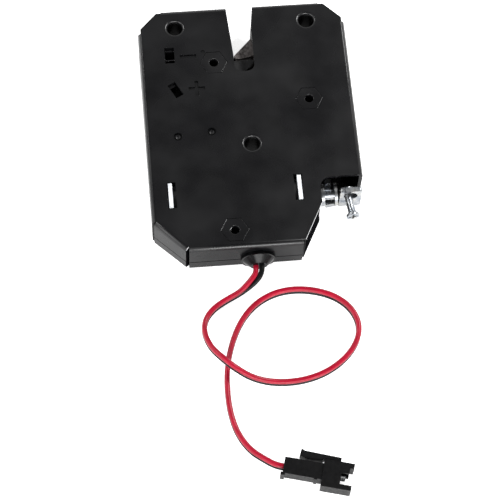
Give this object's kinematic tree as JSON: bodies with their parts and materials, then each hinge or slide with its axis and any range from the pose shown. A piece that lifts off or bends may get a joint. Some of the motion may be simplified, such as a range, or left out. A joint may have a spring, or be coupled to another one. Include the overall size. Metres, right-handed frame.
{
  "type": "electric door strike",
  "caption": "Flat steel cabinet lock with a striker slot, spring hook, solenoid, pull-to-release lever, and a red and black lead ending in a latching plug.",
  "frame": {"origin": "axis of the centre mounting hole at the back face of the case", "axes": "+X to the lock's right, +Y towards the open end of the striker slot, +Z out of the front cover"},
  "size_m": [0.0591, 0.1433, 0.013],
  "materials": {
    "black_paint": "satin black powder coat",
    "zinc_plate": "bright zinc plate",
    "black_zinc": "painted over with the case",
    "dark_steel": "oiled dark steel",
    "spring_steel": "drawn spring wire",
    "black_nylon": "moulded, semi-matte",
    "copper_wire": "enamelled copper",
    "coil_tape": "black polyester tape",
    "black_rubber": "matte",
    "red_insulation": "soft satin PVC",
    "black_insulation": "soft satin PVC",
    "connector_plastic": "moulded, fine texture",
    "tin_plate": "bright tin plate"
  },
  "bodies": {
    "root": {"cover_shell": "black_paint", "base_shell": "black_paint", "centre_sleeve": "black_paint", "corner_sleeves": "black_paint", "case_screws": "zinc_plate", "hook_spring": "spring_steel", "hook_spacer": "zinc_plate", "ejector_spring": "spring_steel", "ejector_spacer": "black_nylon", "ejector_post": "black_zinc", "lever_post": "black_zinc", "lower_post": "black_zinc", "lever_spacer": "zinc_plate", "solenoid_frame": "zinc_plate", "bobbin": "black_nylon", "coil_winding": "copper_wire", "coil_tape": "coil_tape", "fixed_core": "dark_steel", "plunger_spring": "spring_steel", "grommet": "black_rubber", "inner_red_wire": "red_insulation", "inner_black_wire": "black_insulation", "red_wire": "red_insulation", "black_wire": "black_insulation", "connector_housing": "connector_plastic", "connector_pins": "tin_plate"},
    "hook_body": {"hook": "dark_steel", "link_pin": "zinc_plate"},
    "lever_body": {"release_lever": "zinc_plate", "release_pin": "zinc_plate"},
    "plunger_body": {"plunger": "zinc_plate"},
    "ejector_body": {"ejector_arm": "black_nylon"},
    "latch_body": {"connector_latch": "connector_plastic"}
  },
  "joints": [
    {"name": "release_swing", "type": "hinge", "parent": "root", "child": "lever_body", "pos_m": [0.0172, 0.0128, 0.0065], "axis": [0, 0, 1], "range_deg": [-13.06, 0], "stiffness_Nm_per_rad": 0.02, "springref_deg": 28.65, "deforming": ["hook_spring"]},
    {"name": "hook_swing", "type": "hinge", "parent": "root", "child": "hook_body", "pos_m": [0, 0, 0.0065], "axis": [0, 0, 1], "range_deg": [-9.6, 0]},
    {"name": "plunger_slide", "type": "slide", "parent": "root", "child": "plunger_body", "axis": [1, 0, 0], "range_m": [-0.0063, 0], "deforming": ["plunger_spring"]},
    {"name": "ejector_swing", "type": "hinge", "parent": "root", "child": "ejector_body", "pos_m": [-0.0086, 0.0261, 0.0065], "axis": [0, 0, 1], "range_deg": [-38, 0], "stiffness_Nm_per_rad": 0.02, "springref_deg": 28.65, "deforming": ["ejector_spring"]},
    {"name": "latch_flex", "type": "hinge", "parent": "root", "child": "latch_body", "pos_m": [0.01334, -0.09033, 0.0025], "axis": [0, 0, 1], "range_deg": [0, 5], "stiffness_Nm_per_rad": 0.01}
  ],
  "couplings": [
    {"joint": "hook_swing", "follows": "release_swing", "ratio": 0.7274},
    {"joint": "plunger_slide", "follows": "release_swing", "m_per_rad": 0.0272}
  ]
}
